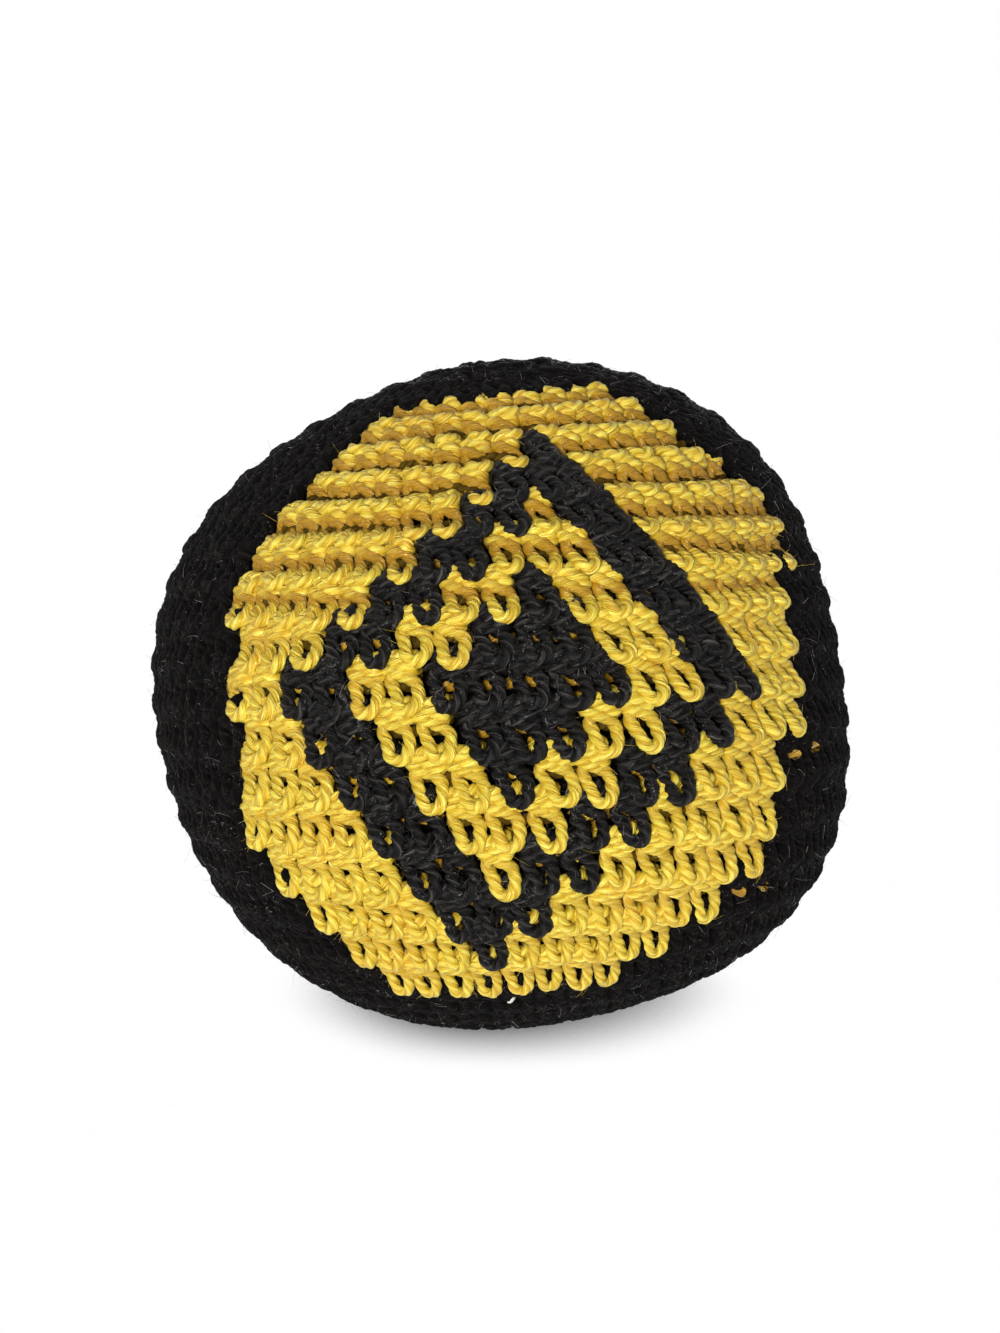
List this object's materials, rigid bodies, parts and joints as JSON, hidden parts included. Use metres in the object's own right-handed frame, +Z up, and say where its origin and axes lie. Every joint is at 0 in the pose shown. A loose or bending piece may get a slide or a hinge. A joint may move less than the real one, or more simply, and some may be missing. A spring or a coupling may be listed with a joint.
{
  "type": "crocheted footbag",
  "caption": "Small round kick bag of single crochet worked in rounds, black with a yellow panel of nested diamonds, filled with loose pellets and resting on a small flat.",
  "frame": {"origin": "on the surface that the bag rests on, under the middle of its box, where the filling presses it flat", "axes": "+Z up from that surface; the panel looks along -Y and 13 degrees up, +X is to the right of someone who looks at the panel; the rounds go about an axis that leans 10.6 degrees back and 2.2 degrees to the left of +Z"},
  "size_m": [0.0535, 0.0554, 0.0501],
  "materials": {
    "black_yarn": "matt, slightly fuzzy cotton yarn, twisted plies",
    "yellow_yarn": "satin mercerised cotton yarn, twisted plies",
    "pellet_plastic": "smooth off-white plastic"
  },
  "bodies": {
    "root": {"cover_black": "black_yarn", "panel_field": "yellow_yarn", "panel_inner": "yellow_yarn", "diamond_ring": "black_yarn", "diamond_centre": "black_yarn", "start_ring": "black_yarn", "closing_ring": "black_yarn", "closing_knot": "black_yarn", "closing_tail": "black_yarn", "pellet_bed": "pellet_plastic", "pellet_01": "pellet_plastic", "pellet_02": "pellet_plastic", "pellet_03": "pellet_plastic", "pellet_04": "pellet_plastic", "pellet_05": "pellet_plastic", "pellet_06": "pellet_plastic", "pellet_07": "pellet_plastic", "pellet_08": "pellet_plastic", "pellet_09": "pellet_plastic", "pellet_10": "pellet_plastic", "pellet_11": "pellet_plastic", "pellet_12": "pellet_plastic", "pellet_13": "pellet_plastic", "pellet_14": "pellet_plastic", "pellet_15": "pellet_plastic", "pellet_16": "pellet_plastic", "pellet_17": "pellet_plastic", "pellet_18": "pellet_plastic", "pellet_19": "pellet_plastic", "pellet_20": "pellet_plastic", "pellet_21": "pellet_plastic", "pellet_22": "pellet_plastic", "pellet_23": "pellet_plastic", "pellet_24": "pellet_plastic", "pellet_25": "pellet_plastic", "pellet_26": "pellet_plastic"}
  },
  "joints": []
}
